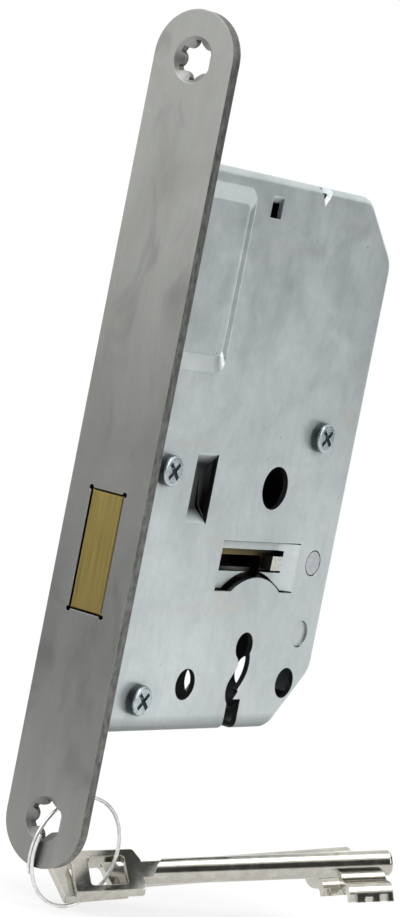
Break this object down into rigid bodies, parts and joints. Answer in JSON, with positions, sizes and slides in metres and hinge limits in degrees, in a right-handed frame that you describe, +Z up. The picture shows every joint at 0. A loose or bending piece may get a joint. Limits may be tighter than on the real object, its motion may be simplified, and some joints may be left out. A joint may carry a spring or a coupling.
{
  "type": "cupboard lock",
  "caption": "Mortice dead lock for a cupboard door: flat steel case, round-ended forend, brass deadbolt worked through levers, and lever keys on a wire ring.",
  "frame": {"origin": "centre of the forend's front face, midway between its screw holes", "axes": "+X out of the cover side of the case, +Y into the door, +Z up along the forend"},
  "size_m": [0.0622, 0.0796, 0.1827],
  "materials": {
    "forend_steel": "brushed across its width",
    "case_zinc": "bright zinc plate, satin",
    "screw_zinc": "blue zinc plate",
    "bolt_brass": "fine ground",
    "bolt_stump_steel": "plain",
    "inner_steel": "plain turned",
    "lever_steel": "plain stamped",
    "spring_steel": "tempered",
    "ring_wire": "bright drawn wire",
    "key_nickel": "nickel plate, satin"
  },
  "bodies": {
    "lock": {"forend": "forend_steel", "case_base": "case_zinc", "case_cover": "case_zinc", "case_pillars": "case_zinc", "case_screws": "screw_zinc", "lever_post": "inner_steel", "lever_collar": "inner_steel", "lever_stop": "inner_steel"},
    "bolt_body": {"bolt": "bolt_brass", "bolt_stump": "bolt_stump_steel"},
    "lever_1_body": {"lever_1": "lever_steel", "lever_spring_1": "spring_steel"},
    "lever_2_body": {"lever_2": "lever_steel", "lever_spring_2": "spring_steel"},
    "lever_3_body": {"lever_3": "lever_steel", "lever_spring_3": "spring_steel"},
    "lever_4_body": {"lever_4": "lever_steel", "lever_spring_4": "spring_steel"},
    "ring_body": {"key_ring": "ring_wire"},
    "key_1_body": {"key_1": "key_nickel"},
    "key_2_body": {"key_2": "key_nickel"}
  },
  "joints": [
    {"name": "bolt_slide", "type": "slide", "parent": "lock", "child": "bolt_body", "axis": [0, -1, 0], "range_m": [0, 0.015]},
    {"name": "lever_1_drop", "type": "hinge", "parent": "lock", "child": "lever_1_body", "pos_m": [0, 0.07, -0.0215], "axis": [1, 0, 0], "range_deg": [0, 5], "stiffness_Nm_per_rad": 0.02, "springref_deg": 8.59},
    {"name": "lever_2_drop", "type": "hinge", "parent": "lock", "child": "lever_2_body", "pos_m": [0, 0.07, -0.0215], "axis": [1, 0, 0], "range_deg": [0, 5], "stiffness_Nm_per_rad": 0.02, "springref_deg": 8.59},
    {"name": "lever_3_drop", "type": "hinge", "parent": "lock", "child": "lever_3_body", "pos_m": [0, 0.07, -0.0215], "axis": [1, 0, 0], "range_deg": [0, 5], "stiffness_Nm_per_rad": 0.02, "springref_deg": 8.59},
    {"name": "lever_4_drop", "type": "hinge", "parent": "lock", "child": "lever_4_body", "pos_m": [0, 0.07, -0.0215], "axis": [1, 0, 0], "range_deg": [0, 5], "stiffness_Nm_per_rad": 0.02, "springref_deg": 8.59},
    {"name": "ring_swing", "type": "hinge", "parent": "lock", "child": "ring_body", "pos_m": [0, 0.00125, -0.077], "axis": [0, 1, 0], "range_deg": [-15, 15]},
    {"name": "key_1_swing", "type": "hinge", "parent": "ring_body", "child": "key_1_body", "pos_m": [0.00385, 0.02124, -0.08648], "axis": [0.1101, 0.2156, 0.9703], "range_deg": [-1, 6]},
    {"name": "key_2_swing", "type": "hinge", "parent": "ring_body", "child": "key_2_body", "pos_m": [0.00313, 0.01914, -0.09098], "axis": [0.1717, 0.6015, 0.7802], "range_deg": [-6, 4]}
  ]
}
